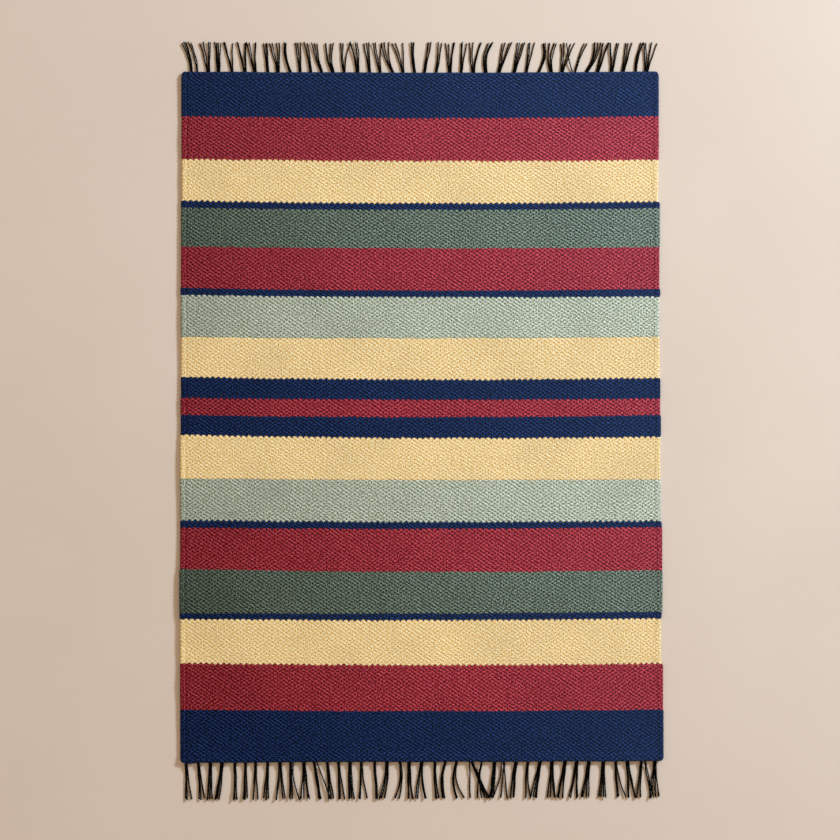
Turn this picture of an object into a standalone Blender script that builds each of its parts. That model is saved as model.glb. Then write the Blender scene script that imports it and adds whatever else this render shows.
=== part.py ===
"""A striped kilim rug, lying flat on the floor.

Three solids: the woven cloth, and at each end the narrow heading with its fringe of warp ends.
Metres, +Z up. The origin is on the floor under the middle of the whole rug, and +Y runs along
the warps to the far end. Tables are in millimetres, and MM turns them into metres.
"""

from collections import namedtuple
from math import pi, sin, sqrt
from random import Random

import bmesh
import bpy

MM = 0.001

# Driving dimensions
FAR_CORNERS = 657.9 * MM
REACH = 715.0 * MM
THICKNESS = 5.8 * MM
HEADING = 6.0 * MM
HEADING_SHOULDER = 0.7 * MM
PARTING = 0.3 * MM
CORNER_RADIUS = 8.5 * MM
EDGE_RADIUS = 2.6 * MM
SELVEDGE_GROOVE = 12.0 * MM
GROOVE_DEPTH = 0.8 * MM
GROOVE_HALF_WIDTH = 1.0 * MM
CORD_RISE = 0.2 * MM
LIFT_WIDTH = 32.0 * MM
SHOULDER = 3.5 * MM
FAR_LINE_BOW = 2.0 * MM

# Places of the cloth's columns, from each long edge inwards
COLUMNS = tuple(place * MM for place in (0, 0.9, 2.6, 9.5, 12, 14.5, 32, 200))

YARN_WIDTH = 2.2 * MM
YARN_HEIGHT = 1.9 * MM
YARN_GAP = 0.3 * MM
SIDE_CLEARANCE = 3.0 * MM
ROOT_PITCH = 1.6 * MM
ROOT_HEIGHT = 0.9 * MM
ROOT_SINK = 3.0 * MM
SETTLED_AT = 0.26
RINGS = (0.0, 0.24, 0.49, 0.74, 1.0)
SAMPLES = 60
LENGTH_SPREAD = 3.0 * MM
FAN_START = {"far": 1.1, "near": 1.6}
SEED = 21

# One row for each stripe, from the far end. depth runs along the selvedges, left and right are
# the edges' distances from the middle line, and at the stripe's near side bow is how far the
# weft sags in the middle and tilt how much further up its right end lies.
Stripe = namedtuple("Stripe", "colour depth left right bow tilt")
STRIPES = (
    Stripe("navy", 84.5, 452.0, 446.5, 4.0, 0.0),
    Stripe("red", 81.5, 451.5, 446.5, 3.5, -2.0),
    Stripe("yellow", 78.0, 451.0, 445.0, 4.5, -2.0),
    Stripe("navy", 12.5, 452.5, 448.5, 4.5, -1.0),
    Stripe("green", 73.5, 452.5, 448.5, 3.0, -1.0),
    Stripe("red", 78.5, 452.5, 447.5, 4.0, -2.0),
    Stripe("navy", 14.5, 453.5, 449.5, 2.5, -3.0),
    Stripe("sage", 77.0, 452.5, 446.5, 2.5, 1.0),
    Stripe("yellow", 76.0, 452.5, 447.5, 4.5, -2.0),
    Stripe("navy", 39.5, 452.5, 449.5, 3.0, -1.0),
    Stripe("red", 31.5, 453.5, 449.0, 4.0, 0.0),
    Stripe("navy", 39.5, 453.0, 450.5, 4.5, -3.5),
    Stripe("yellow", 81.0, 454.0, 449.0, 2.0, -2.0),
    Stripe("sage", 78.5, 454.0, 450.0, 2.5, -1.0),
    Stripe("navy", 12.5, 454.0, 452.0, 3.0, 1.0),
    Stripe("red", 79.5, 454.0, 453.0, 4.0, -2.0),
    Stripe("green", 81.0, 455.5, 453.5, 2.0, 3.0),
    Stripe("navy", 12.0, 455.0, 451.5, 3.0, 1.0),
    Stripe("yellow", 84.0, 454.0, 450.0, 3.0, 0.0),
    Stripe("red", 86.5, 454.0, 454.5, 3.0, 0.0),
    Stripe("navy", 98.0, 454.0, 455.5, 0.0, 3.0),
)

# Where a long edge stands off the floor: side is -1 at the left and 1 at the right
Lift = namedtuple("Lift", "side centre length rise")
LIFTS = (
    Lift(-1, 454, 120, 1.0),
    Lift(-1, 190, 130, 0.9),
    Lift(-1, -74, 120, 1.1),
    Lift(-1, -337, 170, 2.2),
    Lift(-1, -488, 120, 1.6),
    Lift(1, 300, 140, 0.8),
    Lift(1, -420, 150, 1.0),
)

# One row for each tuft, from the left. root is its place along the edge, lean how far its tips
# lie to the right of it, spread the width of its tips, and bow the bulge halfway along.
Tuft = namedtuple("Tuft", "root lean spread bow yarns")
FAR_TUFTS = (
    Tuft(-433, -15, 8, 3, 3),
    Tuft(-422, -15, 5, 3, 2),
    Tuft(-401, -5, 24, 0, 4),
    Tuft(-382, -2, 13, 0, 4),
    Tuft(-356, -11, 18, 0, 3),
    Tuft(-332, -7, 20, 0, 4),
    Tuft(-313, -6, 21, -1, 4),
    Tuft(-289, -5, 5, 0, 3),
    Tuft(-270, -7, 24, 1, 4),
    Tuft(-246, -11, 6, -4, 3),
    Tuft(-228, -5, 8, 0, 3),
    Tuft(-208, -11, 5, 1, 3),
    Tuft(-187, -15, 10, -2, 3),
    Tuft(-166, -8, 18, -4, 4),
    Tuft(-145, 0, 15, -2, 3),
    Tuft(-120, -9, 17, 2, 4),
    Tuft(-97, -7, 9, 0, 3),
    Tuft(-77, -8, 13, -1, 3),
    Tuft(-53, -16, 13, -4, 3),
    Tuft(-34, -13, 22, 1, 3),
    Tuft(-12, -4, 5, -2, 3),
    Tuft(6, 9, 4, 0, 3),
    Tuft(28, 6, 5, 1, 3),
    Tuft(54, 2, 20, -1, 4),
    Tuft(75, 4, 13, 0, 3),
    Tuft(98, 6, 27, -2, 4),
    Tuft(122, 10, 10, -6, 4),
    Tuft(146, 16, 22, 0, 4),
    Tuft(175, 13, 17, 0, 4),
    Tuft(198, 9, 9, 0, 3),
    Tuft(221, 10, 7, 5, 3),
    Tuft(245, 2, 16, -4, 4),
    Tuft(265, 11, 31, 0, 4),
    Tuft(290, 20, 5, -2, 2),
    Tuft(285, -11, 0, -2, 1),
    Tuft(311, 20, 15, 5, 4),
    Tuft(332, 16, 13, 0, 4),
    Tuft(359, 4, 20, 0, 4),
    Tuft(380, 13, 14, 0, 4),
    Tuft(404, 13, 5, -3, 3),
    Tuft(424, 7, 24, 0, 5),
)
NEAR_TUFTS = (
    Tuft(-443, 3, 14, 0, 3),
    Tuft(-420, 6, 7, 0, 3),
    Tuft(-397, -3, 11, 0, 4),
    Tuft(-375, -11, 9, 1, 4),
    Tuft(-351, 0, 6, 0, 3),
    Tuft(-331, -1, 10, 0, 3),
    Tuft(-312, -2, 11, 0, 3),
    Tuft(-289, -4, 8, 0, 3),
    Tuft(-266, 0, 21, 0, 4),
    Tuft(-246, 0, 8, 0, 3),
    Tuft(-241, 12, 0, -5, 1),
    Tuft(-221, 3, 20, 0, 4),
    Tuft(-202, 11, 6, 0, 3),
    Tuft(-197, 26, 0, 0, 1),
    Tuft(-177, 7, 7, 0, 3),
    Tuft(-156, 5, 14, 0, 3),
    Tuft(-134, 2, 12, -1, 4),
    Tuft(-113, 1, 14, 0, 3),
    Tuft(-88, 4, 5, 0, 3),
    Tuft(-65, -8, 13, 3, 4),
    Tuft(-40, -7, 6, 5, 3),
    Tuft(-23, 3, 9, -1, 4),
    Tuft(1, -1, 24, -2, 4),
    Tuft(26, 4, 6, -2, 3),
    Tuft(46, -4, 7, -5, 3),
    Tuft(67, 4, 14, -7, 3),
    Tuft(91, 1, 0, 0, 1),
    Tuft(95, 29, 8, 0, 3),
    Tuft(114, -4, 8, -3, 2),
    Tuft(138, -7, 8, 1, 4),
    Tuft(151, -17, 0, 5, 1),
    Tuft(156, 0, 13, 0, 2),
    Tuft(179, -8, 8, -1, 4),
    Tuft(201, -1, 9, -2, 3),
    Tuft(224, -12, 14, 0, 4),
    Tuft(246, 0, 18, 0, 4),
    Tuft(271, -9, 12, 0, 4),
    Tuft(293, -6, 19, 0, 4),
    Tuft(316, -8, 17, 0, 4),
    Tuft(343, -2, 16, 0, 4),
    Tuft(366, 9, 14, -1, 3),
    Tuft(388, 9, 17, 0, 4),
    Tuft(415, -7, 7, 0, 3),
    Tuft(421, 14, 5, 0, 2),
    Tuft(440, -2, 22, 0, 4),
)

# The wools as they show in even light, as sRGB values from 0 to 255
COLOURS = {
    "navy": (30, 46, 92),
    "red": (154, 46, 62),
    "yellow": (233, 203, 137),
    "green": (92, 117, 102),
    "sage": (164, 182, 159),
    "fringe": (34, 31, 29),
}
WOOL_ROUGHNESS = 0.9

LENGTH = sum(stripe.depth for stripe in STRIPES) * MM


def clear_scene():
    for obj in list(bpy.data.objects):
        bpy.data.objects.remove(obj, do_unlink=True)


def linear(value):
    """One sRGB value from 0 to 255 as the linear value that a shader takes."""
    share = value / 255
    if share <= 0.04045:
        return share / 12.92
    return ((share + 0.055) / 1.055) ** 2.4


def yarn_material(name):
    material = bpy.data.materials.new(name + "_yarn")
    material.use_nodes = True
    shader = material.node_tree.nodes["Principled BSDF"]
    colour = [linear(value) for value in COLOURS[name]]
    shader.inputs["Base Color"].default_value = (*colour, 1)
    shader.inputs["Roughness"].default_value = WOOL_ROUGHNESS
    shader.inputs["Metallic"].default_value = 0
    material.diffuse_color = (*colour, 1)
    return material


def mix(low, high, share):
    return low + (high - low) * share


def clamp(value):
    return min(max(value, 0.0), 1.0)


def smooth(share):
    share = clamp(share)
    return share * share * (3 - 2 * share)


def rounding(distance, radius):
    """How far a quarter round of this radius has fallen away, this far from its edge."""
    if distance >= radius:
        return 0.0
    return radius - sqrt(radius**2 - (radius - distance) ** 2)


def stripe_starts():
    """The distance of each stripe's far side from the far end."""
    starts = [0.0]
    for stripe in STRIPES:
        starts.append(starts[-1] + stripe.depth * MM)
    return starts


STARTS = stripe_starts()


def stripe_at(distance):
    """The index of the stripe at this distance from the far end."""
    for index in range(len(STRIPES)):
        if distance < STARTS[index + 1]:
            return index
    return len(STRIPES) - 1


def half_widths(distance):
    """The left and right edges' distances from the middle line. Each stripe keeps its own
    width, and the edge steps from one to the next around their border."""
    index = stripe_at(distance)
    here = STRIPES[index]
    before = STRIPES[max(index - 1, 0)]
    after = STRIPES[min(index + 1, len(STRIPES) - 1)]
    from_start = (distance - STARTS[index]) / SHOULDER
    from_end = (STARTS[index + 1] - distance) / SHOULDER
    corner = rounding(min(distance, LENGTH - distance), CORNER_RADIUS)
    edges = []
    for side in ("left", "right"):
        width = getattr(here, side)
        if from_start < 1:
            width = mix((getattr(before, side) + width) / 2, width, smooth(from_start))
        elif from_end < 1:
            width = mix((getattr(after, side) + width) / 2, width, smooth(from_end))
        edges.append(width * MM - corner)
    return edges


def weft_line(distance, x):
    """The place along Y of the weft at this distance from the far end."""
    index = stripe_at(distance)
    share = clamp((distance - STARTS[index]) / (STRIPES[index].depth * MM))
    last = STRIPES[index]
    if index:
        first = STRIPES[index - 1]
        bow = mix(first.bow, last.bow, share) * MM
        tilt = mix(first.tilt, last.tilt, share) * MM
    else:
        bow = mix(FAR_LINE_BOW, last.bow * MM, share)
        tilt = last.tilt * MM * share
    across = x / (last.left * MM)
    return FAR_CORNERS - distance - bow * (1 - across**2) + tilt * across / 2


def lift(x, y, from_edge):
    """How far the cloth stands off the floor here."""
    rise = 0.0
    for row in LIFTS:
        if row.side * x < 0:
            continue
        along = abs(y - row.centre * MM) / (row.length * MM)
        rise += row.rise * MM * smooth(1 - along)
    return rise * (1 - clamp(from_edge / LIFT_WIDTH)) ** 2


def surface_rise(from_edge):
    """The selvedge cord and the groove inside it, on the upper face."""
    if abs(from_edge - SELVEDGE_GROOVE) < GROOVE_HALF_WIDTH:
        return -GROOVE_DEPTH
    return CORD_RISE if from_edge < SELVEDGE_GROOVE else 0.0


def row_points(distance, from_end):
    """The upper and lower points of the cloth across one row, from left to right."""
    left, right = half_widths(distance)
    places = [(-left + inwards, inwards) for inwards in COLUMNS]
    places.append(((right - left) / 2, (right + left) / 2))
    places += [(right - inwards, inwards) for inwards in reversed(COLUMNS)]
    upper, lower = [], []
    for x, from_edge in places:
        y = weft_line(distance, x)
        fallen = max(rounding(from_edge, EDGE_RADIUS), rounding(from_end, EDGE_RADIUS))
        base = lift(x, y, from_edge)
        upper.append((x, y, base + THICKNESS + surface_rise(from_edge) - fallen))
        lower.append((x, y, base + fallen))
    return upper, lower


def add_slab(mesh, distances, materials):
    """Adds a closed slab of cloth with a row of points at each of these distances from the far
    end. Each face takes the material of its stripe."""
    rows = []
    for distance in distances:
        points = row_points(distance, min(distance, LENGTH - distance))
        rows.append([[mesh.verts.new(point) for point in face] for face in points])
    across = range(len(rows[0][0]) - 1)

    def add_face(corners, slot):
        face = mesh.faces.new(corners)
        face.material_index = slot
        face.smooth = True

    for index in range(len(rows) - 1):
        middle = (distances[index] + distances[index + 1]) / 2
        slot = materials.index(STRIPES[stripe_at(middle)].colour)
        (upper, lower), (next_upper, next_lower) = rows[index], rows[index + 1]
        for i in across:
            add_face((upper[i], next_upper[i], next_upper[i + 1], upper[i + 1]), slot)
            add_face((lower[i + 1], next_lower[i + 1], next_lower[i], lower[i]), slot)
        add_face((lower[0], next_lower[0], next_upper[0], upper[0]), slot)
        add_face((upper[-1], next_upper[-1], next_lower[-1], lower[-1]), slot)
    for (upper, lower), far in ((rows[0], True), (rows[-1], False)):
        for i in across:
            corners = (lower[i], upper[i], upper[i + 1], lower[i + 1])
            add_face(corners if far else corners[::-1], 0)


def new_object(name, mesh, materials):
    data = bpy.data.meshes.new(name)
    bmesh.ops.recalc_face_normals(mesh, faces=mesh.faces)
    mesh.to_mesh(data)
    mesh.free()
    for material in materials:
        data.materials.append(material)
    obj = bpy.data.objects.new(name, data)
    bpy.context.scene.collection.objects.link(obj)
    return obj


def cloth_rows():
    """Rows at each stripe's border and shoulders, and more where the corners are round."""
    first = HEADING + PARTING
    rows = [first, CORNER_RADIUS, LENGTH - CORNER_RADIUS, LENGTH - first]
    for index in range(len(STRIPES)):
        start, end = STARTS[index], STARTS[index + 1]
        rows += [start, start + SHOULDER, end - SHOULDER]
    return sorted(row for row in set(rows) if first <= row <= LENGTH - first)


def build_cloth(wools):
    mesh = bmesh.new()
    add_slab(mesh, cloth_rows(), list(wools))
    return new_object("woven_cloth", mesh, wools.values())


def yarn_paths(tufts, fan_start):
    """For each yarn its tuft and its places across the rug at even steps along its length, those
    that start low first and loose ones last."""
    paths = []
    for tuft in tufts:
        for number in range(tuft.yarns):
            from_middle = number - (tuft.yarns - 1) / 2
            root = ROOT_PITCH * from_middle
            tip = tuft.spread * MM * from_middle / max(tuft.yarns - 1, 1)
            places = []
            for step in range(SAMPLES + 1):
                share = step / SAMPLES
                middle = tuft.root + tuft.lean * share + tuft.bow * sin(pi * share)
                places.append(middle * MM + mix(root, tip, share**fan_start))
            layer = 2 if tuft.yarns == 1 else number % 2
            paths.append((layer, places))
    return sorted(paths, key=lambda path: path[0])


def natural_height(layer, share):
    """A yarn leaves the heading inside its thickness and soon comes down to the floor."""
    root = ROOT_HEIGHT + (layer % 2) * (YARN_HEIGHT + YARN_GAP)
    return root * (1 - smooth(share / SETTLED_AT))


def settled(paths):
    """The height of each yarn's underside at each ring. A yarn that crosses or leans on an
    earlier one lies on it."""
    heights = []
    rings = []
    for number, (layer, places) in enumerate(paths):
        needed = [0.0] * len(places)
        for other in range(number):
            for step, place in enumerate(places):
                if abs(place - paths[other][1][step]) < SIDE_CLEARANCE:
                    over = heights[other][step] + YARN_HEIGHT + YARN_GAP
                    needed[step] = max(needed[step], over)
        ring_heights = [natural_height(layer, 0.0)]
        for index in range(1, len(RINGS)):
            first = round(RINGS[index - 1] * SAMPLES)
            last = round(RINGS[min(index + 1, len(RINGS) - 1)] * SAMPLES)
            highest = max(needed[first : last + 1])
            ring_heights.append(max(highest, natural_height(layer, RINGS[index])))
        rings.append(ring_heights)
        heights.append(between_rings(ring_heights))
    return rings


def between_rings(ring_heights):
    heights = []
    for step in range(SAMPLES + 1):
        share = step / SAMPLES
        index = max(i for i in range(len(RINGS) - 1) if RINGS[i] <= share)
        part = (share - RINGS[index]) / (RINGS[index + 1] - RINGS[index])
        heights.append(mix(ring_heights[index], ring_heights[index + 1], part))
    return heights


def add_yarn(mesh, points):
    """A three-sided yarn with a flat underside, centred on these points of its underside."""
    rings = []
    for x, y, z in points:
        corners = (
            (x - YARN_WIDTH / 2, y, z),
            (x + YARN_WIDTH / 2, y, z),
            (x, y, z + YARN_HEIGHT),
        )
        rings.append([mesh.verts.new(corner) for corner in corners])
    for ring, following in zip(rings, rings[1:]):
        for i in range(3):
            j = (i + 1) % 3
            mesh.faces.new((ring[i], ring[j], following[j], following[i]))
    mesh.faces.new(rings[0])
    mesh.faces.new(rings[-1])


def yarn_points(places, ring_heights, outwards, shortfall):
    """The points of one yarn's underside, the first of them sunk in the heading."""
    edge = weft_line(0.0 if outwards > 0 else LENGTH, places[0])
    tip = outwards * (REACH - shortfall)
    points = [(places[0], edge - outwards * ROOT_SINK, ring_heights[0])]
    for share, height in zip(RINGS[1:], ring_heights[1:]):
        points.append((places[round(share * SAMPLES)], mix(edge, tip, share), height))
    return points


def heading_rows(far):
    rows = (0.0, HEADING_SHOULDER, EDGE_RADIUS, HEADING)
    return rows if far else tuple(LENGTH - row for row in reversed(rows))


def build_fringe(end, tufts, yarn):
    """The heading at one end with its warp ends, fused at their roots. The exact solver leaves
    open edges where many yarns leave one face, so the union takes the manifold one."""
    outwards = 1 if end == "far" else -1
    mesh = bmesh.new()
    add_slab(mesh, heading_rows(outwards > 0), ["navy"])
    fringe = new_object(end + "_fringe", mesh, [yarn])

    rng = Random(SEED + outwards)
    paths = yarn_paths(tufts, FAN_START[end])
    shortfalls = [rng.uniform(0, LENGTH_SPREAD) for _ in paths]
    longest = min(shortfalls)
    yarns = bmesh.new()
    for (_, places), ring_heights, shortfall in zip(paths, settled(paths), shortfalls):
        add_yarn(yarns, yarn_points(places, ring_heights, outwards, shortfall - longest))
    warp_ends = new_object(end + "_warp_ends", yarns, [yarn])
    warp_ends.hide_render = True
    warp_ends.display_type = "WIRE"

    union = fringe.modifiers.new("warp ends", "BOOLEAN")
    union.operation = "UNION"
    union.object = warp_ends
    union.solver = "MANIFOLD"
    return fringe


def main():
    clear_scene()
    colours = dict.fromkeys(stripe.colour for stripe in STRIPES)
    wools = {colour: yarn_material(colour) for colour in colours}
    warp = yarn_material("fringe")
    build_cloth(wools)
    build_fringe("far", FAR_TUFTS, warp)
    build_fringe("near", NEAR_TUFTS, warp)


main()
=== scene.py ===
"""The looks of the striped kilim rug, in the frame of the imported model.

The woven cloth is five bands and two headings, whose weft stands up in rows over the warps, and
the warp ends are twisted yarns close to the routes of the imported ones. Metres, +Z up. Tables are
in millimetres, and MM turns them into metres.
"""

from collections import namedtuple
from math import cos, pi, radians, sin
from random import Random

import bpy
import numpy as np
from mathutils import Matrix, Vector


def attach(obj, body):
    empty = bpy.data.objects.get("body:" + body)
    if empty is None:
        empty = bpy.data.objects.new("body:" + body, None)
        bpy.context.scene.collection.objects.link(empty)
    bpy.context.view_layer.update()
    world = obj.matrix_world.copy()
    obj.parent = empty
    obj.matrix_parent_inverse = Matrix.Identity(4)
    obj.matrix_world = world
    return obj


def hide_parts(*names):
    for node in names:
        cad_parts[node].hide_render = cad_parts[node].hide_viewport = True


MM = 0.001

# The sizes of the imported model
FAR_CORNERS = 657.9 * MM
REACH = 715.0 * MM
THICKNESS = 5.8 * MM
CORNER_RADIUS = 8.5 * MM
EDGE_RADIUS = 2.6 * MM
SELVEDGE = 12.0 * MM
LIFT_WIDTH = 32.0 * MM
SHOULDER = 3.5 * MM
FAR_LINE_BOW = 2.0 * MM

# What the soft cloth adds to them: round ends, full and wavy edges, an ear at the left near corner
# and a near end that stands up a little. NEAR_RISE_ENDS is the share of a yarn's length along
# which it comes down from there.
END_RADIUS = 5.2 * MM
UNDERSIDE_RADIUS = 0.8 * MM
THINNEST = 0.4 * MM
FULLNESS = 1.0 * MM
FULL_WIDTH = 9.0 * MM
EDGE_WAVES = 0.7 * MM
EDGE_WAVES_LEVEL = 0.5
EDGE_WAVES_WIDTH = 14.0 * MM
LINE_WAVES = 0.5 * MM
STEADYING = 90.0 * MM
EAR_PLACE = 10.0 * MM
EAR_WIDTH = 9.0 * MM
EAR_LENGTH = 2.0 * MM
EAR_DEPTH = 14.0 * MM
NEAR_RISE = 3.4 * MM
NEAR_RISE_WIDTH = 20.0 * MM
NEAR_RISE_ENDS = 0.25

# The weave. Warps are counted from the left selvedge's inner side and picks from the far end.
FIELD_WARPS = 164
WARP_PITCH = 5.35 * MM
COLUMNS_A_WARP = 3
ROWS_A_PICK = 2
PICK_PITCH = 3.58 * MM
FEWEST_PICKS = 4
HEADING_PICKS = 2
ROUND_END_ROW = 0.14
CORD_COLUMNS = tuple(place * MM for place in (0, 0.5, 1.3, 2.6, 4.4, 6.4, 8.4, 10.3))
SETTLE_WIDTH = 40.0 * MM
UNDERSIDE_STEP = 12
RIDGE_RISE = 0.35 * MM
PIT_DEPTH = 1.25 * MM
PIT_SHARPNESS = 1.8
END_RELIEF = 2.0 * MM
LEAST_END_RELIEF = 0.4

# How far the weave wanders, in warps and in picks, and how uneven its depth is
WARP_WANDER = 0.1
PICK_WANDER = 0.14
FINE_WANDER = 0.06
DEPTH_WANDER = 0.08
BUMP_WANDER = 0.14

# The share of the weft's ridges that run down to the right. It falls towards the right edge.
SLANT = 0.6
SLANT_WANDER = 0.15
SLANT_DETAIL = 0.06
SLANT_FALL = 0.1
SLANT_FALL_PLACE = 250.0 * MM
SLANT_FALL_WIDTH = 200.0 * MM
SLANT_RANGE = (0.15, 0.78)

# The selvedge's cord with its ribs, and the stitches beside it. The cord is narrower at the right.
CORD_WIDTH = 10.6 * MM
RIGHT_CORD = 1.28
CORD_FADE = 4.0 * MM
CORD_HOLD = 0.6
CORD_BULGE = 0.45 * MM
CORD_RIB = 0.4 * MM
RIB_WANDER = 1.2
RIB_REACH = 0.35 * MM
RIB_REACH_WIDTH = 2.0 * MM
STITCH_DEPTH = 1.1 * MM
STITCH_WIDTH = 1.5 * MM
STITCH_SLANT = 0.25 / MM
STITCH_LEVEL = 0.2
STITCH_SWING = 0.75
CORD_CREST = 0.28
CREST_PLACE = 2.4 * MM
CREST_WIDTH = 1.3 * MM

# Smooth noise comes from a grid of this many cells each way, and starts this many cells in
NOISE_CELLS = 256
NOISE_START = 64

# Where two colours meet, in picks. The noise is read along lines this far apart.
SCALLOP_REACH = 2.5
SCALLOP_UNEVENNESS = 0.35
SCALLOP_WANDER = 0.22
SCALLOP_LINES = 4.0 * MM

# One row for each stripe, from the far end. depth runs along the selvedges, left and right are
# the edges' distances from the middle line, and at the stripe's near side bow is how far the
# weft sags in the middle, tilt how much further up its right end lies, and scallop how deep the
# two colours bite into each other, in picks.
Stripe = namedtuple("Stripe", "colour depth left right bow tilt scallop")
STRIPES = (
    Stripe("navy", 84.5, 452.0, 446.5, 4.0, 0.0, 0.9),
    Stripe("red", 81.5, 451.5, 446.5, 3.5, -2.0, 1.0),
    Stripe("yellow", 78.0, 451.0, 445.0, 4.5, -2.0, 1.0),
    Stripe("navy", 12.5, 452.5, 448.5, 4.5, -1.0, 0.9),
    Stripe("green", 73.5, 452.5, 448.5, 3.0, -1.0, 0.25),
    Stripe("red", 78.5, 452.5, 447.5, 4.0, -2.0, 0.25),
    Stripe("navy", 14.5, 453.5, 449.5, 2.5, -3.0, 1.0),
    Stripe("sage", 77.0, 452.5, 446.5, 2.5, 1.0, 0.35),
    Stripe("yellow", 76.0, 452.5, 447.5, 4.5, -2.0, 0.9),
    Stripe("navy", 39.5, 452.5, 449.5, 3.0, -1.0, 0.9),
    Stripe("red", 31.5, 453.5, 449.0, 4.0, 0.0, 0.5),
    Stripe("navy", 39.5, 453.0, 450.5, 4.5, -3.5, 1.0),
    Stripe("yellow", 81.0, 454.0, 449.0, 2.0, -2.0, 0.35),
    Stripe("sage", 78.5, 454.0, 450.0, 2.5, -1.0, 1.1),
    Stripe("navy", 12.5, 454.0, 452.0, 3.0, 1.0, 0.9),
    Stripe("red", 79.5, 454.0, 453.0, 4.0, -2.0, 0.2),
    Stripe("green", 81.0, 455.5, 453.5, 2.0, 3.0, 0.6),
    Stripe("navy", 12.0, 455.0, 451.5, 3.0, 1.0, 1.0),
    Stripe("yellow", 84.0, 454.0, 450.0, 3.0, 0.0, 1.0),
    Stripe("red", 86.5, 454.0, 454.5, 3.0, 0.0, 0.3),
    Stripe("navy", 98.0, 454.0, 455.5, 0.0, 3.0, 0.0),
)

# The stripes of each band, the second number not included. A band is as much cloth as one mesh
# holds at this fineness.
BANDS = ((0, 4), (4, 8), (8, 13), (13, 17), (17, 21))

# Where a long edge stands off the floor: side is -1 at the left and 1 at the right
Lift = namedtuple("Lift", "side centre length rise")
LIFTS = (
    Lift(-1, 454, 120, 1.0),
    Lift(-1, 190, 130, 0.9),
    Lift(-1, -74, 120, 1.1),
    Lift(-1, -337, 170, 2.2),
    Lift(-1, -488, 120, 1.6),
    Lift(1, 300, 140, 0.8),
    Lift(1, -420, 150, 1.0),
)

# The routes of the yarns. FAN_START is above 1 where a tuft stays together before it fans out, and
# REACH_ACROSS is where the right end of a fringe is SHORTER_AT_RIGHT in full.
YARN_HEIGHT = 1.9 * MM
YARN_GAP = 0.3 * MM
SIDE_CLEARANCE = 3.0 * MM
ROOT_PITCH = 1.6 * MM
ROOT_HEIGHT = 0.9 * MM
ROOT_SINK = 3.0 * MM
SETTLED_AT = 0.26
RINGS = (0.0, 0.24, 0.49, 0.74, 1.0)
SAMPLES = 60
LENGTH_SPREAD = 3.0 * MM
FAN_START = {"far": 1.35, "near": 1.8}
REACH_ACROSS = 450.0 * MM
SHORTER_AT_RIGHT = {"far": 1.5, "near": 4.5}
SEED = 21

# One row for each tuft, from the left. root is its place along the edge, lean how far its tips
# lie to the right of it, spread the width of its tips, and bow the bulge halfway along.
Tuft = namedtuple("Tuft", "root lean spread bow yarns")
FAR_TUFTS = (
    (-433, -15, 8, 3, 3),
    (-422, -15, 5, 3, 2),
    (-401, -5, 24, 0, 4),
    (-382, -2, 13, 0, 4),
    (-356, -11, 18, 0, 3),
    (-332, -7, 20, 0, 4),
    (-313, -6, 21, -1, 4),
    (-289, -5, 5, 0, 3),
    (-270, -7, 24, 1, 4),
    (-246, -11, 6, -4, 3),
    (-228, -5, 8, 0, 3),
    (-208, -11, 5, 1, 3),
    (-187, -15, 10, -2, 3),
    (-166, -8, 18, -4, 4),
    (-145, 0, 15, -2, 3),
    (-120, -9, 17, 2, 4),
    (-97, -7, 9, 0, 3),
    (-77, -8, 13, -1, 3),
    (-53, -16, 13, -4, 3),
    (-34, -13, 22, 1, 3),
    (-12, -4, 5, -2, 3),
    (6, 9, 4, 0, 3),
    (28, 6, 5, 1, 3),
    (54, 2, 20, -1, 4),
    (75, 4, 13, 0, 3),
    (98, 6, 27, -2, 4),
    (122, 10, 10, -6, 4),
    (146, 16, 22, 0, 4),
    (175, 13, 17, 0, 4),
    (198, 9, 9, 0, 3),
    (221, 10, 7, 5, 3),
    (245, 2, 16, -4, 4),
    (265, 11, 31, 0, 4),
    (290, 20, 5, -2, 2),
    (285, -11, 0, -2, 1),
    (311, 20, 15, 5, 4),
    (332, 16, 13, 0, 4),
    (359, 4, 20, 0, 4),
    (380, 13, 14, 0, 4),
    (404, 13, 5, -3, 3),
    (424, 7, 24, 0, 5),
)
NEAR_TUFTS = (
    (-443, 3, 14, 0, 3),
    (-420, 6, 7, 0, 3),
    (-397, -3, 11, 0, 4),
    (-375, -11, 9, 1, 4),
    (-351, 0, 6, 0, 3),
    (-331, -1, 10, 0, 3),
    (-312, -2, 11, 0, 3),
    (-289, -4, 8, 0, 3),
    (-266, 0, 21, 0, 4),
    (-246, 0, 8, 0, 3),
    (-241, 12, 0, -5, 1),
    (-221, 3, 20, 0, 4),
    (-202, 11, 6, 0, 3),
    (-197, 26, 0, 0, 1),
    (-177, 7, 7, 0, 3),
    (-156, 5, 14, 0, 3),
    (-134, 2, 12, -1, 4),
    (-113, 1, 14, 0, 3),
    (-88, 4, 5, 0, 3),
    (-65, -8, 13, 3, 4),
    (-40, -7, 6, 5, 3),
    (-23, 3, 9, -1, 4),
    (1, -1, 24, -2, 4),
    (26, 4, 6, -2, 3),
    (46, -4, 7, -5, 3),
    (67, 4, 14, -7, 3),
    (91, 1, 0, 0, 1),
    (95, 29, 8, 0, 3),
    (114, -4, 8, -3, 2),
    (138, -7, 8, 1, 4),
    (151, -17, 0, 5, 1),
    (156, 0, 13, 0, 2),
    (179, -8, 8, -1, 4),
    (201, -1, 9, -2, 3),
    (224, -12, 14, 0, 4),
    (246, 0, 18, 0, 4),
    (271, -9, 12, 0, 4),
    (293, -6, 19, 0, 4),
    (316, -8, 17, 0, 4),
    (343, -2, 16, 0, 4),
    (366, 9, 14, -1, 3),
    (388, 9, 17, 0, 4),
    (415, -7, 7, 0, 3),
    (421, 14, 5, 0, 2),
    (440, -2, 22, 0, 4),
)

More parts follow.
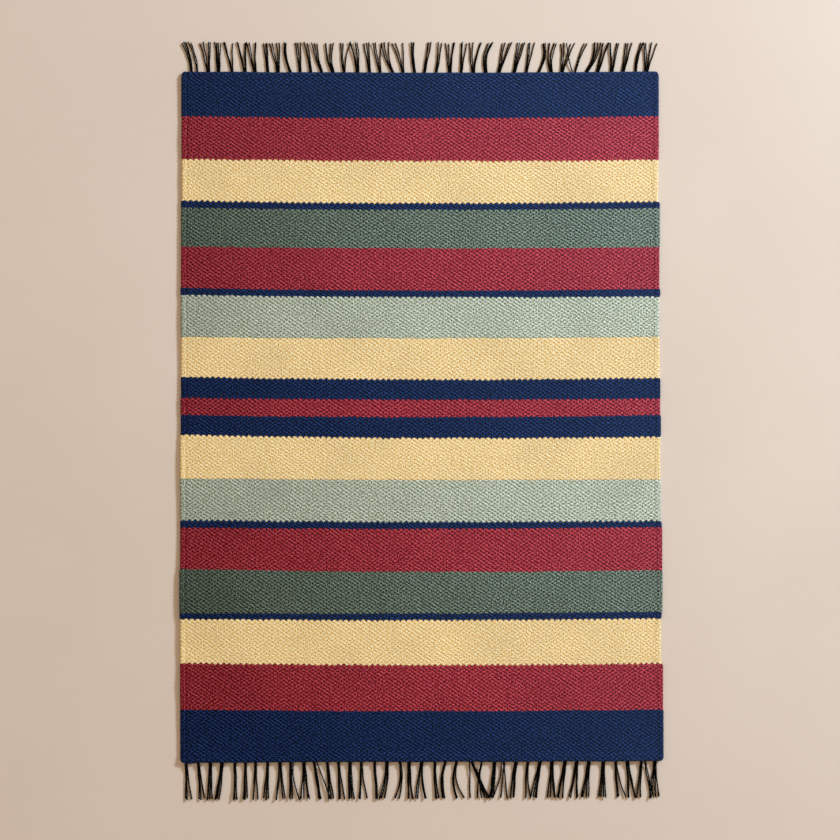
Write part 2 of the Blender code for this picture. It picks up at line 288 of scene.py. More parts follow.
# The twisted yarns of the fringe. Tips stand together in twos and threes, and fullness is how thick
# a yarn is at its root and at its tip.
CLUMPING = 1.6 * MM
CLUMP_TURNS = (3.7, 2.1)
PAIRING = 0.5
YARN_RADIUS = 1.3 * MM
YARN_FULLNESS = {"far": (1.05, 0.9), "near": (1.0, 1.25)}
PLY_SIDES = (1.0, 0.94, 0.78, 0.94, 1.0, 0.94, 0.78, 0.94)
YARN_STEPS = 32
TWIST_PITCH = 15.0 * MM
NESTLING = 0.45
FREE_FROM = 0.3
WOBBLE = (0.1, 0.5)
WOBBLE_WAVES = 1.5
HOVER = {"far": (0.0, 0.4), "near": (0.0, 0.5)}
TIP_LIFT = 2.0 * MM
LIFTED_TIPS = 0.2
THICKNESS_SWING = 0.06
THICKNESS_WAVES = 3
TIP_FLARE = 0.14
TIP_FLARE_FROM = 0.9
FRAYED_TIPS = 0.3
FRAYING = 0.35
FRAYED_FROM = 0.93

# The map for baking: a start and a width for the cloth's upper side, its underside, its far end and
# its near end, the places of its long sides, and the grid of the yarns with their ends
MAP_MARGIN = 0.005
MAP_STRIP_WIDTH = 0.955
MAP_STRIPS = ((0.01, 0.72), (0.96, -0.18), (0.99, -0.02), (0.735, 0.03))
MAP_SIDES = 0.97
MAP_SIDE_PITCH = 0.014
MAP_SIDE_WIDTH = 0.01
MAP_COLUMNS = 4
MAP_ROWS = 36
MAP_YARN_LENGTH = 0.93
MAP_YARN_MARGIN = 0.05
MAP_YARN_END = 0.965
MAP_END_SIZE = (0.025, 0.2)
MAP_END_PLACES = (0.25, 0.75)

# The wools as sRGB values from 0 to 255: on a ridge of the weft, on its flank and in a pit. The
# ridge colour is a painted highlight and the pit colour painted shade, besides the shading of the
# real relief. The others are how deep its weave is, how much painted light brightens it to the
# right and how much painted shade dims it to the left. The pale wools are fuller and lie flatter.
Wool = namedtuple("Wool", "ridge body pit relief paler darker")
WOOLS = {
    "navy": Wool((32, 56, 111), (4, 18, 44), (0, 1, 4), 1.0, 0.16, 0.12),
    "red": Wool((197, 76, 84), (130, 17, 33), (72, 0, 4), 0.95, 0.22, 0.25),
    "yellow": Wool((243, 229, 186), (230, 202, 137), (207, 154, 70), 0.34, -0.02, 0.06),
    "green": Wool((131, 148, 131), (77, 89, 74), (14, 21, 16), 0.86, 0.55, 0.25),
    "sage": Wool((206, 214, 200), (164, 174, 151), (100, 110, 80), 0.7, 0.26, 0.16),
}
# The warp yarn: a painted highlight on its plies, its own near-black, and painted shade in the
# grooves between the plies
WARP_COLOURS = ((19, 16, 12), (11, 9, 7), (4, 3, 2))
# A painted sheen: a bluish colour mixed into the wool towards the right and the far end, and the
# most of it that goes in
PAINTED_SHEEN_COLOUR = (120, 150, 190)
PAINTED_SHEEN = 0.045
FLOOR_COLOURS = ((205, 189, 174), (209, 194, 179))

# Where each colour stands on its ramp, and the hue that leaves a colour as it is
WOOL_STOPS = (0.0, 0.3, 0.5, 0.85)
WARP_STOPS = (0.0, 0.35, 0.6, 1.0)
FLOOR_STOPS = (0.3, 0.7)
PLAIN_HUE = 0.5

# The noises in the materials
Grain = namedtuple("Grain", "scale stretch detail dimensions")
FIBRES = Grain(520, (0.75, 1, 1), 1, "2D")
LOCKS = Grain(230, (0.6, 1, 1), 1, "2D")
UNEVEN_PICKS = Grain(80, (0.12, 3.2, 1), 2, "2D")
PATCHES = Grain(9, (1, 1, 1), 2, "3D")
CLOUDS = Grain(2.2, (1, 1, 1), 4, "3D")
GRIT = Grain(60, (1, 1, 1), 2, "3D")

# How much the noises change: fibres and locks the place on a yarn that gives its colour, locks its
# hue and its relief, and patches its brightness
FIBRE_SWING = 2.9
LOCK_SWING = 0.2
LOCK_HUES = 0.02
LOCK_RELIEF = 0.55
PATCH_SWING = 0.3
GRIT_SWING = 0.15

# How fast the painted light on the wool grows to the right and to the far end, and how fast the
# painted shade gives way from its left side
PAINTED_LIGHT_ACROSS = 0.85
PAINTED_LIGHT_ALONG = 0.35
PAINTED_SHADE_ACROSS = 2.0

# In the shader the selvedge's cord lies this deep, its ribs stand up from it as painted highlights
# and its stitches are pits of painted shade, besides the real relief that both have in the mesh.
CORD_LEVEL = 0.42
RIB_SHARE = 0.25
STITCH_SHARE = 0.9

# The shaders' own numbers
BUMP_STRENGTH = 0.9
BUMP_DISTANCE = 1.0 * MM
YARN_ROUGHNESS = 0.88
SHEEN_ROUGHNESS = 0.5
FLOOR_ROUGHNESS = 0.85
FLOOR_GLOSS = 0.2

# The finish of a yarn. swing is how uneven its picks are, relief and fibres how high its weave and
# its fibres stand in the bump, the sixth how much of a painted sheen colour is mixed in towards the
# right and the far end, and the last two are the painted light to the right and the painted shade
# to the left, as in the wools, which give their own for the weft.
Finish = namedtuple("Finish", "swing relief fibres sheen gloss fade paler darker")
WOOL_FINISH = Finish(0.1, 1.0, 1.8, 0.03, 0.05, PAINTED_SHEEN, 0.0, 0.0)
WARP_FINISH = Finish(0.4, 0.3, 0.7, 0.0, 0.02, 0.0, 0.1, 0.0)

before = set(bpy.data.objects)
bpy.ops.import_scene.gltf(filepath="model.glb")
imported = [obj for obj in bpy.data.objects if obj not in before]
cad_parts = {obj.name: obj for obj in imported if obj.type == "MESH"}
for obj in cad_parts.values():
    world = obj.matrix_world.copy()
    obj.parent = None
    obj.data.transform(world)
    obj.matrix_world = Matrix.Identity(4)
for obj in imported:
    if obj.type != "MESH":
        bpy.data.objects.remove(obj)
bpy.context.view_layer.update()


# The shape of the cloth


def smooth(share):
    """A share from 0 to 1 that starts and ends gently."""
    share = np.clip(share, 0.0, 1.0)
    return share * share * (3 - 2 * share)


def mix(low, high, share):
    """The value this share of the way from low to high."""
    return low + (high - low) * share


def rounding(distance, radius):
    """How far a quarter round of this radius has fallen away, this far from its edge."""
    inside = np.clip(radius - distance, 0.0, radius)
    return radius - np.sqrt(radius**2 - inside**2)


def bell(distance, width):
    """A round peak, 1 in its middle and gone a few widths away."""
    return np.exp(-((distance / width) ** 2))


DEPTHS = np.array([stripe.depth for stripe in STRIPES]) * MM
STARTS = np.concatenate([[0.0], np.cumsum(DEPTHS)])
LENGTH = STARTS[-1]
PICKS = np.maximum(np.round(DEPTHS / PICK_PITCH), FEWEST_PICKS).astype(int)
FIRST_PICKS = np.concatenate([[0], np.cumsum(PICKS)])
BORDERS = FIRST_PICKS - 0.5
RELIEFS = np.array([WOOLS[stripe.colour].relief for stripe in STRIPES])


class Noise:
    """Smooth noise from -1 to 1 over the plane, the same each run."""

    def __init__(self, seed, size):
        self.grid = np.random.default_rng(seed).uniform(-1, 1, (NOISE_CELLS, NOISE_CELLS))
        self.size = size

    def __call__(self, x, y):
        across, down = x / self.size + NOISE_START, y / self.size + NOISE_START
        left, top = np.floor(across).astype(int), np.floor(down).astype(int)
        right_share, low_share = smooth(across - left), smooth(down - top)

        def at(i, j):
            return self.grid[(top + j) % NOISE_CELLS, (left + i) % NOISE_CELLS]

        upper = mix(at(0, 0), at(1, 0), right_share)
        lower = mix(at(0, 1), at(1, 1), right_share)
        return mix(upper, lower, low_share)


slant_noise = Noise(1, 30 * MM)
slant_detail = Noise(2, 11 * MM)
depth_noise = Noise(3, 24 * MM)
bump_noise = Noise(4, 5 * MM)
warp_noise = Noise(5, 14 * MM)
pick_noise = Noise(6, 14 * MM)
fine_warp_noise = Noise(10, 6 * MM)
fine_pick_noise = Noise(11, 6 * MM)
line_noise = Noise(7, 70 * MM)
scallop_noise = Noise(8, 9 * MM)
cord_noise = Noise(9, 9 * MM)
edge_noise = Noise(12, 38 * MM)


def stripe_at(distance):
    """The number of the stripe at this distance from the far end."""
    index = np.searchsorted(STARTS, distance, side="right") - 1
    return np.clip(index, 0, len(STRIPES) - 1)


def stripe_values(column):
    """One column of the stripes' table, in metres."""
    return np.array([getattr(stripe, column) for stripe in STRIPES]) * MM


def half_width(side, distance):
    """The edge's distance from the middle line. It steps from stripe to stripe."""
    widths = stripe_values(side)
    index = stripe_at(distance)
    here = widths[index]
    before = widths[np.maximum(index - 1, 0)]
    after = widths[np.minimum(index + 1, len(STRIPES) - 1)]
    from_start = (distance - STARTS[index]) / SHOULDER
    from_end = (STARTS[index + 1] - distance) / SHOULDER
    width = np.where(from_start < 1, mix((before + here) / 2, here, smooth(from_start)), here)
    width = np.where(from_end < 1, mix((after + here) / 2, here, smooth(from_end)), width)
    return width - rounding(np.minimum(distance, LENGTH - distance), CORNER_RADIUS)


def steady_half_width(side, distance):
    """The edge's distance from the middle line, averaged over a few stripes, for the warps."""
    middles = (STARTS[1:] + STARTS[:-1]) / 2
    widths = stripe_values(side)
    weights = bell(distance[:, None] - middles, STEADYING) * DEPTHS
    return (weights * widths).sum(1) / weights.sum(1)


def weft_line(distance, x):
    """The place along Y of the weft at this distance from the far end."""
    index = stripe_at(distance)
    share = np.clip((distance - STARTS[index]) / DEPTHS[index], 0.0, 1.0)
    bows = np.concatenate([[FAR_LINE_BOW], stripe_values("bow")])
    tilts = np.concatenate([[0.0], stripe_values("tilt")])
    bow = mix(bows[index], bows[index + 1], share)
    tilt = mix(tilts[index], tilts[index + 1], share)
    across = x / stripe_values("left")[index]
    return FAR_CORNERS - distance - bow * (1 - across**2) + tilt * across / 2


def lift(x, y, from_edge):
    """How far the cloth stands off the floor here."""
    rise = np.zeros_like(x)
    for row in LIFTS:
        along = np.abs(y - row.centre * MM) / (row.length * MM)
        rise += np.where(row.side * x < 0, 0.0, row.rise * MM * smooth(1 - along))
    return rise * (1 - np.clip(from_edge / LIFT_WIDTH, 0.0, 1.0)) ** 2


def columns():
    """For each column of points its warp number, and its distance in from the left or the right
    edge if it lies in a selvedge cord."""
    cord = np.array(CORD_COLUMNS)
    field = np.arange(FIELD_WARPS * COLUMNS_A_WARP + 1) / COLUMNS_A_WARP
    beside = (cord - SELVEDGE) / WARP_PITCH
    warps = np.concatenate([beside, field, FIELD_WARPS - beside[::-1]])
    none = np.full(len(field), np.nan)
    from_left = np.concatenate([cord, none, np.full(len(cord), np.nan)])
    from_right = np.concatenate([np.full(len(cord), np.nan), none, cord[::-1]])
    return warps, from_left, from_right


WARPS, FROM_LEFT, FROM_RIGHT = columns()


def across_rug(distance):
    """The place along X of every column, in rows at these distances from the far end."""
    left, right = half_width("left", distance), half_width("right", distance)
    steady_left = steady_half_width("left", distance)
    steady_right = steady_half_width("right", distance)
    share = WARPS / FIELD_WARPS
    field = mix((SELVEDGE - steady_left)[:, None], (steady_right - SELVEDGE)[:, None], share)
    reach = SETTLE_WIDTH / WARP_PITCH
    near_left = smooth(1 - WARPS / reach)
    near_right = smooth(1 - (FIELD_WARPS - WARPS) / reach)
    field += (steady_left - left)[:, None] * near_left
    field += (right - steady_right)[:, None] * near_right
    x = np.where(np.isnan(FROM_LEFT), field, FROM_LEFT - left[:, None])
    return np.where(np.isnan(FROM_RIGHT), x, right[:, None] - FROM_RIGHT)


def scalloped(rows):
    """The pick number of every point, for rows of points at these pick numbers. At a change of
    colour the nearer weft rises in round humps and the farther one comes down in teeth."""
    picks = np.repeat(rows[:, None], len(WARPS), axis=1)
    place = WARPS * WARP_PITCH
    inwards = np.minimum(WARPS, FIELD_WARPS - WARPS)
    for index, stripe in enumerate(STRIPES[:-1]):
        border = BORDERS[index + 1]
        near = np.clip(1 - np.abs(rows - border) / SCALLOP_REACH, 0.0, 1.0)
        hump = np.abs(np.cos(pi * (WARPS - FIRST_PICKS[index + 1]) / 2))
        line = np.full_like(place, border * SCALLOP_LINES)
        uneven = 1 + SCALLOP_UNEVENNESS * scallop_noise(place, line)
        wander = SCALLOP_WANDER * scallop_noise(place, line + 1)
        bite = stripe.scallop * uneven * (0.5 - hump) + wander
        picks += near[:, None] * bite * smooth(1 + inwards / 2)
    return picks


def slant(x, y):
    """The share of the weft's ridges that run down to the right. It wanders over the cloth."""
    share = SLANT + SLANT_WANDER * slant_noise(x, y) + SLANT_DETAIL * slant_detail(x, y)
    share = share - SLANT_FALL * smooth((x - SLANT_FALL_PLACE) / SLANT_FALL_WIDTH)
    return np.clip(share, *SLANT_RANGE)


def weave(warps, picks, share):
    """How deep every point lies in the weave, from 0 on a ridge to 1 in a pit. Each pick passes
    over every second warp, and the next pick over the others."""
    down, up = np.cos(pi * (warps - picks)), np.cos(pi * (warps + picks))
    deep = (1 - share * down - (1 - share) * up) / 2
    return np.clip(deep, 0.0, 1.0) ** PIT_SHARPNESS


def selvedge_at(x, y, picks, from_edge):
    """How far each point is part of a selvedge's cord, how deep it lies in the stitches, how high
    on a rib, and how high the cord stands there."""
    inwards = from_edge * np.where(x < 0, 1.0, RIGHT_CORD)
    in_cord = CORD_HOLD * smooth((CORD_WIDTH - inwards) / CORD_FADE)
    ribs = np.cos(pi * picks + RIB_WANDER * cord_noise(x, y))
    past_cord = inwards - CORD_WIDTH
    along = np.cos(pi * (picks - STITCH_SLANT * past_cord))
    pulled = np.clip(STITCH_LEVEL + STITCH_SWING * along, 0.0, 1.0)
    stitches = pulled * bell(past_cord, STITCH_WIDTH)
    stitches -= CORD_CREST * bell(past_cord + CREST_PLACE, CREST_WIDTH)
    place = (inwards - CORD_WIDTH / 2) / (CORD_WIDTH / 2)
    height = CORD_BULGE * np.clip(1 - place**2, 0.0, 1.0) + CORD_RIB * ribs
    return in_cord, stitches, ribs, height


def woven_at(x, y, picks):
    """The warp and the pick number of each point, a little uneven, and the slant of its ridges."""
    warps = WARPS + WARP_WANDER * warp_noise(x, y) + FINE_WANDER * fine_warp_noise(x, y)
    picks = picks + PICK_WANDER * pick_noise(x, y) + FINE_WANDER * fine_pick_noise(x, y)
    return warps, picks, slant(x, y)


def standing_off(x, y, from_edge, from_near_end):
    """How far the cloth's underside stands off the floor, with its waves and its near end."""
    waves = EDGE_WAVES * np.maximum(EDGE_WAVES_LEVEL + edge_noise(x, y), 0.0)
    base = lift(x, y, from_edge) + waves * smooth(1 - from_edge / EDGE_WAVES_WIDTH)
    return base + NEAR_RISE * smooth(1 - from_near_end / NEAR_RISE_WIDTH)


def filled_out(x, y, ribs, left, right, distance, from_edge):
    """x and y once the ribs, the full edges and the ear have pushed the points outwards."""
    from_near_end = LENGTH - distance
    outwards = np.where(x < 0, -1.0, 1.0) * RIB_REACH * ribs
    x = x + outwards * smooth(1 - from_edge / RIB_REACH_WIDTH)
    x = x + FULLNESS * smooth(1 - (right - x) / FULL_WIDTH)
    y = y + FULLNESS * smooth(1 - distance / FULL_WIDTH)
    y = y - FULLNESS * smooth(1 - from_near_end / FULL_WIDTH)
    ear = EAR_LENGTH * bell(x + left - EAR_PLACE, EAR_WIDTH)
    return x, y - ear * smooth(1 - from_near_end / EAR_DEPTH)


def surface(rows):
    """The upper and the lower points of the cloth, their places in the weave and their places at
    the selvedge, for rows of points at these pick numbers."""
    picks = scalloped(rows)
    straight = np.interp(rows, BORDERS, STARTS)
    distance = np.interp(picks, BORDERS, STARTS)
    x = across_rug(straight)
    y = weft_line(distance, x)
    y += LINE_WAVES * line_noise(x, y)
    left, right = half_width("left", straight)[:, None], half_width("right", straight)[:, None]
    from_edge = np.minimum(x + left, right - x)
    from_end = np.minimum(distance, LENGTH - distance)

    in_cord, stitches, ribs, cord = selvedge_at(x, y, picks, from_edge)
    warps, picks, share = woven_at(x, y, picks)
    uneven = 1 + DEPTH_WANDER * depth_noise(x, y) + BUMP_WANDER * bump_noise(x, y)
    deep = weave(warps, picks, share) * uneven
    relief = mix(RIDGE_RISE - PIT_DEPTH * deep, cord, in_cord) - STITCH_DEPTH * stitches
    relief = relief * RELIEFS[stripe_at(straight)][:, None]
    relief = relief * smooth(from_end / END_RELIEF + LEAST_END_RELIEF)

    fallen = np.maximum(rounding(from_edge, EDGE_RADIUS), rounding(from_end, END_RADIUS))
    below = rounding(np.minimum(from_edge, from_end), UNDERSIDE_RADIUS)
    base = standing_off(x, y, from_edge, LENGTH - distance)
    upper = base + THICKNESS + relief - fallen
    lower = np.maximum(np.minimum(base + below, upper - THINNEST), 0.0)
    x, y = filled_out(x, y, ribs, left, right, distance, from_edge)
    woven = np.stack([warps, picks, share], axis=-1)
    selvedge = np.stack([in_cord, stitches, ribs], axis=-1)
    return np.stack([x, y, upper], axis=-1), np.stack([x, y, lower], axis=-1), woven, selvedge


# Meshes


def in_scene(name, data):
    """An object in the scene for this mesh, lamp or camera."""
    obj = bpy.data.objects.new(name, data)
    bpy.context.scene.collection.objects.link(obj)
    return obj


def new_piece(name, points, loops, starts, smooth_faces, slots, materials):
    """A mesh object from its points, its corners' points and each face's first corner. Whether
    faces are smooth and which slot they use is given for each, or once for all."""
    mesh = bpy.data.meshes.new(name)
    mesh.vertices.add(len(points))
    mesh.vertices.foreach_set("co", np.asarray(points, np.float32).ravel())
    mesh.loops.add(len(loops))
    mesh.loops.foreach_set("vertex_index", np.asarray(loops, np.int32))
    mesh.polygons.add(len(starts))
    mesh.polygons.foreach_set("loop_start", np.asarray(starts, np.int32))
    mesh.polygons.foreach_set("material_index", np.full(len(starts), slots, np.int32))
    mesh.polygons.foreach_set("use_smooth", np.full(len(starts), smooth_faces, bool))
    for material in materials:
        mesh.materials.append(material)
    mesh.update(calc_edges=True)
    mesh.validate()
    return in_scene(name, mesh)


def add_vectors(obj, name, values):
    """Three numbers for each point of the mesh, which the materials read by this name."""
    layer = obj.data.attributes.new(name, "FLOAT_VECTOR", "POINT")
    layer.data.foreach_set("vector", np.asarray(values, np.float32).ravel())


def add_map(obj, spots):
    """The map that a bake of the looks is laid out on."""
    layer = obj.data.uv_layers.new(name="OFBake")
    layer.uv.foreach_set("vector", np.asarray(spots, np.float32).ravel())


def stacked(upper, lower):
    """Both grids of points as one list."""
    return np.concatenate([upper.reshape(-1, 3), lower.reshape(-1, 3)])


def row_numbers(first, last):
    """Rows of points from one pick number to another, with one more where an end is round."""
    rows = list(np.arange(first, last + 0.25, 1 / ROWS_A_PICK))
    if first == BORDERS[0]:
        rows.insert(1, first + ROUND_END_ROW)
    if last == BORDERS[-1]:
        rows.insert(-1, last - ROUND_END_ROW)
    return np.array(rows)


def quads(a, b, c, d):
    """Faces of four corners, from one grid of point numbers for each corner."""
    return np.stack([a.ravel(), b.ravel(), c.ravel(), d.ravel()], axis=1)


def side_faces(top, bottom, under_rows, left):
    """The triangles that close one long side, between the upper and the lower outermost column,
    and the row that each one lies at."""
    faces, at_rows = [], []
    for i in range(len(under_rows) - 1):
        first, last = under_rows[i], under_rows[i + 1]
        middle = (first + last) // 2
        for t in range(first, middle):
            faces.append((top[t], bottom[i], top[t + 1]))
        faces.append((top[middle], bottom[i], bottom[i + 1]))
        for t in range(middle, last):
            faces.append((top[t], bottom[i + 1], top[t + 1]))
        at_rows += [*range(first, middle), min(middle, last - 1), *range(middle, last)]
    found = np.array(faces)
    return (found if left else found[:, ::-1]), np.array(at_rows)


def stripe_between(rows):
    """The number of the stripe between each row of points and the next."""
    return np.searchsorted(BORDERS, (rows[1:] + rows[:-1]) / 2) - 1


def underside_rows(rows):
    """Which rows the underside keeps: a few, and those where the colour changes."""
    stepped = set(range(0, len(rows), UNDERSIDE_STEP))
    borders = set(np.flatnonzero(np.isin(rows, BORDERS)))
    return sorted(stepped | borders | {len(rows) - 1})


def cloth_faces(rows, under):
    """The faces of the upper side, the underside, the far end, the near end, the left side and the
    right side, each with the stripes that its rows of faces lie in."""
    count = len(WARPS)
    top = np.arange(len(rows) * count).reshape(len(rows), count)
    bottom = top.size + np.arange(len(under) * count).reshape(len(under), count)
    stripe, under_stripe = stripe_between(rows), stripe_between(rows[under])
    left, left_rows = side_faces(top[:, 0], bottom[:, 0], under, True)
    right, right_rows = side_faces(top[:, -1], bottom[:, -1], under, False)
    return (
        (quads(top[:-1, :-1], top[1:, :-1], top[1:, 1:], top[:-1, 1:]), stripe),
        (quads(bottom[:-1, 1:], bottom[1:, 1:], bottom[1:, :-1], bottom[:-1, :-1]), under_stripe),
        (quads(top[:1, :-1], top[:1, 1:], bottom[:1, 1:], bottom[:1, :-1]), stripe[:1]),
        (quads(top[-1:, 1:], top[-1:, :-1], bottom[-1:, :-1], bottom[-1:, 1:]), stripe[-1:]),
        (left, stripe[left_rows]),
        (right, stripe[right_rows]),
    )


def cloth_map(faces, kind, across, along, below):
    """Where each corner of one kind of face goes on the map for baking. The upper side is cut in
    two strips, the underside and the ends lie in narrow ones beside them, and the long sides
    stand at the right."""
    across, along, below = across[faces], along[faces], below[faces]
    if kind >= len(MAP_STRIPS):
        u = MAP_SIDES + MAP_SIDE_PITCH * (kind - len(MAP_STRIPS)) + MAP_SIDE_WIDTH * below
        v = MAP_MARGIN + (1 - 2 * MAP_MARGIN) * along
    else:
        start, width = MAP_STRIPS[kind]
        strip = (across.mean(1) > 0.5)[:, None]
        u = MAP_MARGIN + (across * 2 - strip) * MAP_STRIP_WIDTH
        v = (start + width * (along if kind < 2 else below) + strip) / 2
    return np.stack([u, v], axis=-1).reshape(-1, 2)


def cloth_spots(parts, shares, under):
    """The map for baking, from how far along the cloth each row of points lies."""
    count = len(WARPS)
    along = np.repeat(np.concatenate([shares, shares[under]]), count)
    across = np.tile(np.arange(count) / (count - 1), len(shares) + len(under))
    below = np.arange(len(along)) >= len(shares) * count
    spots = [
        cloth_map(faces, kind, across, along, below) for kind, (faces, _) in enumerate(parts)
    ]
    return np.concatenate(spots)


def build_cloth(name, first, last, wools):
    """A closed piece of cloth between two pick numbers."""
    rows = row_numbers(first, last)
    under = underside_rows(rows)
    upper, lower, woven, selvedge = surface(rows)
    parts = cloth_faces(rows, under)

    colours = list(dict.fromkeys(STRIPES[i].colour for i in stripe_between(rows)))
    slot_of = np.array([colours.index(s.colour) if s.colour in colours else 0 for s in STRIPES])
    slots = [slot_of[np.repeat(at, len(faces) // len(at))] for faces, at in parts]
    smooth_parts = (True, True, first == BORDERS[0], last == BORDERS[-1], True, True)
    flags = [np.full(len(faces), flag) for (faces, _), flag in zip(parts, smooth_parts)]
    sizes = np.concatenate([np.full(len(faces), faces.shape[1]) for faces, _ in parts])
    loops = np.concatenate([faces.ravel() for faces, _ in parts])
    starts = np.concatenate([[0], np.cumsum(sizes)[:-1]])
    flags, slots = np.concatenate(flags), np.concatenate(slots)
    points = stacked(upper, lower[under])
    materials = [wools[colour] for colour in colours]

    obj = new_piece(name, points, loops, starts, flags, slots, materials)
    add_vectors(obj, "weave", stacked(woven, woven[under]))
    add_vectors(obj, "selvedge", stacked(selvedge, selvedge[under]))
    add_map(obj, cloth_spots(parts, (rows - first) / (last - first), under))
    return obj


# Fringe


def tip_place(tuft, number):
    """How far a yarn's tip lies from the middle of its tuft's tips."""
    half = (tuft.yarns - 1) / 2
    if tuft.yarns <= 2:
        return tuft.spread * MM * (number - half) / max(tuft.yarns - 1, 1)
    pair = 2 * (number // 2) + 0.5 - half
    together = tuft.spread * MM * mix(number - half, pair, PAIRING) / (tuft.yarns - 1)
    by_tuft, by_yarn = CLUMP_TURNS
    return together + CLUMPING * sin(by_tuft * tuft.root + by_yarn * number)


def yarn_paths(tufts, fan_start):
    """For each yarn its layer and its places across the rug at even steps along its length, those
    that start low first and loose ones last."""
    paths = []
    share = np.arange(SAMPLES + 1) / SAMPLES
    for tuft in map(Tuft._make, tufts):
        middle = tuft.root + tuft.lean * share + tuft.bow * np.sin(pi * share)
        for number in range(tuft.yarns):
            root = ROOT_PITCH * (number - (tuft.yarns - 1) / 2)
            places = middle * MM + mix(root, tip_place(tuft, number), share**fan_start)
            layer = 2 if tuft.yarns == 1 else number % 2
            paths.append((layer, places))
    return sorted(paths, key=lambda path: path[0])


def natural_height(layer, share):
    """A yarn leaves the heading inside its thickness and soon comes down to the floor."""
    root = ROOT_HEIGHT + (layer % 2) * (YARN_HEIGHT + YARN_GAP)
    return root * (1 - smooth(share / SETTLED_AT))


def settled(paths):
    """The height of each yarn's underside along its length. A yarn that crosses or leans on an
    earlier one lies on it."""
    heights = []
    for number, (layer, places) in enumerate(paths):
        needed = np.zeros(SAMPLES + 1)
        for other in range(number):
            close = np.abs(places - paths[other][1]) < SIDE_CLEARANCE
            over = heights[other] + YARN_HEIGHT + YARN_GAP
            needed = np.where(close, np.maximum(needed, over), needed)
        ring_heights = [natural_height(layer, 0.0)]
        for index in range(1, len(RINGS)):
            first = round(RINGS[index - 1] * SAMPLES)
            last = round(RINGS[min(index + 1, len(RINGS) - 1)] * SAMPLES)
            highest = needed[first : last + 1].max()
            ring_heights.append(max(highest, natural_height(layer, RINGS[index])))
        heights.append(np.interp(np.arange(SAMPLES + 1) / SAMPLES, RINGS, ring_heights))
    return heights


def yarn_rings(centres, turn, flare):
    """The points round a twisted yarn of two plies, and how deep each lies between them."""
    along = np.gradient(centres, axis=0)
    along /= np.linalg.norm(along, axis=1)[:, None]
    side = np.cross(along, (0.0, 0.0, 1.0))
    side /= np.linalg.norm(side, axis=1)[:, None]
    up = np.cross(side, along)
    step = np.linalg.norm(np.diff(centres, axis=0), axis=1)
    gone = np.concatenate([[0.0], np.cumsum(step)])
    sides = np.array(PLY_SIDES)
    angle = turn + 2 * pi * (gone[:, None] / TWIST_PITCH + np.arange(len(sides)) / len(sides))
    radius = YARN_RADIUS * sides * flare[:, None]
    points = centres[:, None] + (radius * np.cos(angle))[..., None] * side[:, None]
    points = points + (radius * np.sin(angle))[..., None] * up[:, None]
    deep = np.broadcast_to((1 - sides) / (1 - sides.min()), angle.shape)
    return points, deep, gone


def yarn_route(end, places, height, fallen_short, rng):
    """The middle of a yarn at even steps, and how thick it is at each."""
    outwards = 1 if end == "far" else -1
    share = np.linspace(0, 1, YARN_STEPS + 1)
    steps = np.arange(SAMPLES + 1) / SAMPLES
    free = smooth(share / FREE_FROM)
    edge = weft_line(np.array([0.0 if outwards > 0 else LENGTH]), places[:1])[0]
    y = mix(edge, outwards * (REACH - fallen_short), share)
    y[0] = edge - outwards * ROOT_SINK
    wobble = rng.uniform(*WOBBLE) * MM * np.sin(2 * pi * (share * WOBBLE_WAVES + rng.random()))
    x = np.interp(share, steps, places) + wobble * free
    hover = rng.uniform(*HOVER[end]) * MM
    curled = TIP_LIFT * rng.random() if rng.random() < LIFTED_TIPS else 0.0
    swing = THICKNESS_SWING * np.sin(2 * pi * (share * THICKNESS_WAVES + rng.random()))
    flare = 1 + swing + TIP_FLARE * smooth((share - TIP_FLARE_FROM) / (1 - TIP_FLARE_FROM))
    flare = flare * mix(*YARN_FULLNESS[end], share)
    z = NESTLING * np.interp(share, steps, height) + YARN_RADIUS * flare + hover * free
    z = z + curled * share**2
    if end == "near":
        z = z + NEAR_RISE * (1 - smooth(share / NEAR_RISE_ENDS))
    if rng.random() < FRAYED_TIPS:
        flare = flare * (1 - FRAYING * smooth((share - FRAYED_FROM) / (1 - FRAYED_FROM)))
    return np.stack([x, y, z], axis=1), flare


def yarn_map(number, steps, sides):
    """Where the corners of one yarn's faces go on the map for baking: a strip of its own, with
    its two ends beside it."""
    column, row = number % MAP_COLUMNS, number // MAP_COLUMNS
    along = np.arange(steps + 1) / steps * MAP_YARN_LENGTH + MAP_MARGIN
    around = np.arange(sides + 1) / sides * (1 - 2 * MAP_YARN_MARGIN) + MAP_YARN_MARGIN
    u, v = np.meshgrid(along, around, indexing="ij")
    body = np.stack([u, v], axis=-1)
    faces = [body[:-1, :-1], body[1:, :-1], body[1:, 1:], body[:-1, 1:]]
    angle = np.arange(sides) / sides * 2 * pi
    length, width = MAP_END_SIZE
    ends = [
        np.stack([MAP_YARN_END + length * np.cos(angle), place + width * np.sin(angle)], axis=-1)
        for place in MAP_END_PLACES
    ]
    spots = np.concatenate([np.stack(faces, axis=2).reshape(-1, 2), *ends])
    return (spots + (column, row)) / (MAP_COLUMNS, MAP_ROWS)


def yarn_faces(sides):
    """The corners of one yarn's faces and each face's first corner, with its two ends last."""
    ring = np.arange((YARN_STEPS + 1) * sides).reshape(-1, sides)
    beside = np.roll(ring, -1, axis=1)
    body = quads(ring[:-1], ring[1:], beside[1:], beside[:-1])
    loops = np.concatenate([body.ravel(), ring[0], ring[-1][::-1]])
    starts = np.concatenate([np.arange(len(body)) * 4, body.size + np.array([0, sides])])
    return loops, starts


